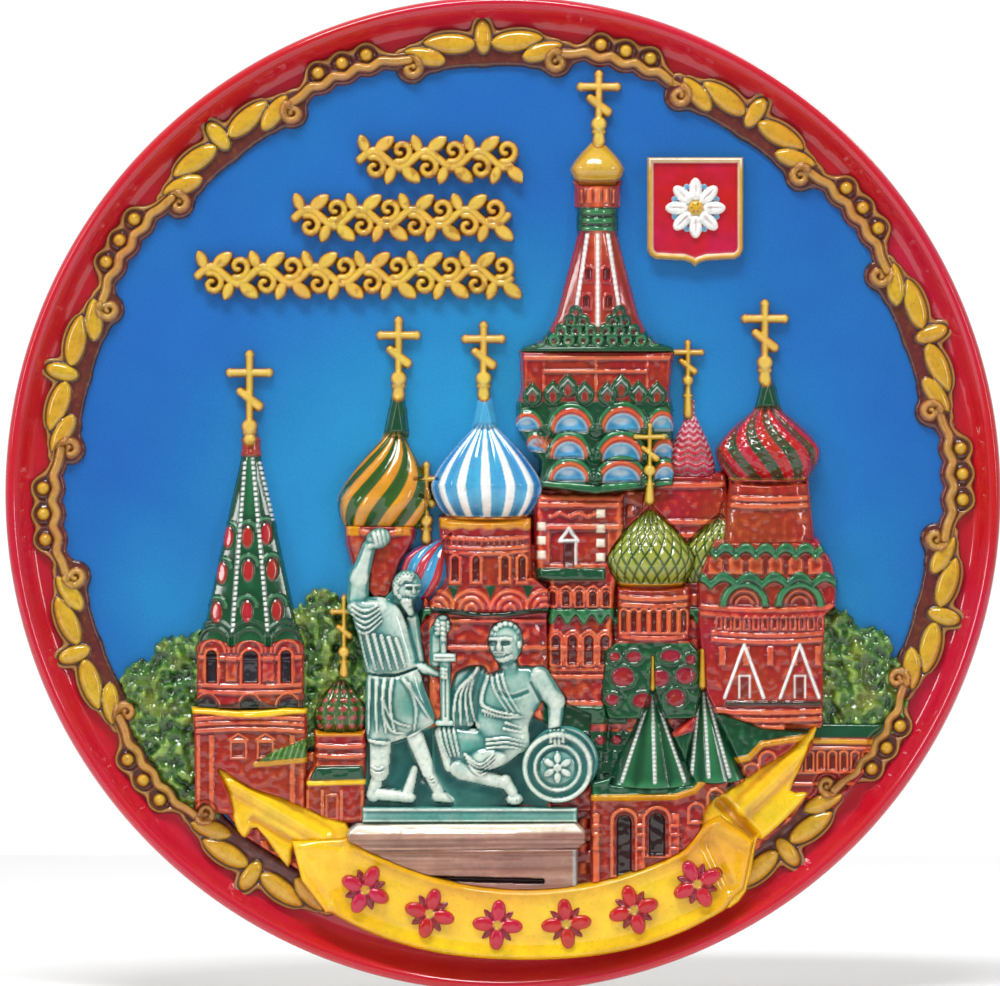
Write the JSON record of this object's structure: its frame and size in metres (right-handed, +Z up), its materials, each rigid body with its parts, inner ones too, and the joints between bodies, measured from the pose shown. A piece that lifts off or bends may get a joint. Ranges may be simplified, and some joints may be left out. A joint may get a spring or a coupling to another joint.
{
  "type": "souvenir wall plate",
  "caption": "Round glazed ceramic wall plate with a raised red rim, gold garland and a relief picture of a many-domed cathedral; wire hanger behind.",
  "frame": {"origin": "centre of the foot ring, in the plane of the wall it hangs on", "axes": "+Z up as it hangs, +Y into the wall, the picture faces -Y, +X to the right of the picture"},
  "size_m": [0.2, 0.0193, 0.2],
  "materials": {
    "crimson_glaze": "gloss",
    "gold_glaze": "gloss",
    "brick_glaze": "gloss",
    "leaf_glaze": "gloss",
    "roof_glaze": "gloss",
    "sky_glaze": "gloss",
    "yellow_glaze": "gloss",
    "lime_glaze": "gloss",
    "rose_glaze": "gloss",
    "verdigris_glaze": "gloss",
    "stone_glaze": "gloss",
    "steel_wire": "satin"
  },
  "bodies": {
    "plate": {"back_dome": "lime_glaze", "banner_band": "yellow_glaze", "banner_motif_1": "crimson_glaze", "banner_motif_2": "crimson_glaze", "banner_motif_3": "crimson_glaze", "banner_motif_4": "crimson_glaze", "banner_motif_5": "crimson_glaze", "banner_motif_6": "crimson_glaze", "banner_tail_left": "yellow_glaze", "banner_tail_right": "yellow_glaze", "blue_dome": "sky_glaze", "blue_dome_drum": "brick_glaze", "chapel_body": "brick_glaze", "chapel_dome": "leaf_glaze", "crest_rosette": "stone_glaze", "crest_shield": "crimson_glaze", "crimson_dome": "crimson_glaze", "crimson_dome_drum": "brick_glaze", "crimson_tower_body": "brick_glaze", "gallery_right": "brick_glaze", "gallery_wall": "brick_glaze", "gate_base": "brick_glaze", "gate_belfry": "brick_glaze", "gate_spire": "roof_glaze", "plate_body": "crimson_glaze", "rim_garland_1": "gold_glaze", "rim_garland_2": "gold_glaze", "rim_garland_3": "gold_glaze", "rim_garland_4": "gold_glaze", "rim_garland_5": "gold_glaze", "rim_garland_6": "gold_glaze", "rim_garland_7": "gold_glaze", "rim_garland_8": "gold_glaze", "rim_garland_9": "gold_glaze", "rose_dome": "rose_glaze", "rose_dome_drum": "brick_glaze", "round_shield": "verdigris_glaze", "scale_dome": "lime_glaze", "scale_dome_drum": "brick_glaze", "seated_figure": "verdigris_glaze", "standing_figure": "verdigris_glaze", "statue_pedestal": "stone_glaze", "statue_plinth": "verdigris_glaze", "statue_sword": "verdigris_glaze", "striped_dome": "rose_glaze", "tent_front": "roof_glaze", "tent_rear": "roof_glaze", "title_vine_lower": "gold_glaze", "title_vine_middle": "gold_glaze", "title_vine_upper": "gold_glaze", "tower_arcade": "roof_glaze", "tower_body": "brick_glaze", "tower_gold_dome": "gold_glaze", "tower_tent": "brick_glaze", "trees_left": "leaf_glaze", "trees_middle": "leaf_glaze", "trees_right": "leaf_glaze", "yellow_dome": "yellow_glaze", "yellow_dome_drum": "brick_glaze"},
    "hanger": {"wall_hanger": "steel_wire"}
  },
  "joints": [
    {"name": "hanger_swing", "type": "hinge", "parent": "plate", "child": "hanger", "pos_m": [0, -0.003, 0.042], "axis": [1, 0, 0], "range_deg": [0, 130]}
  ]
}
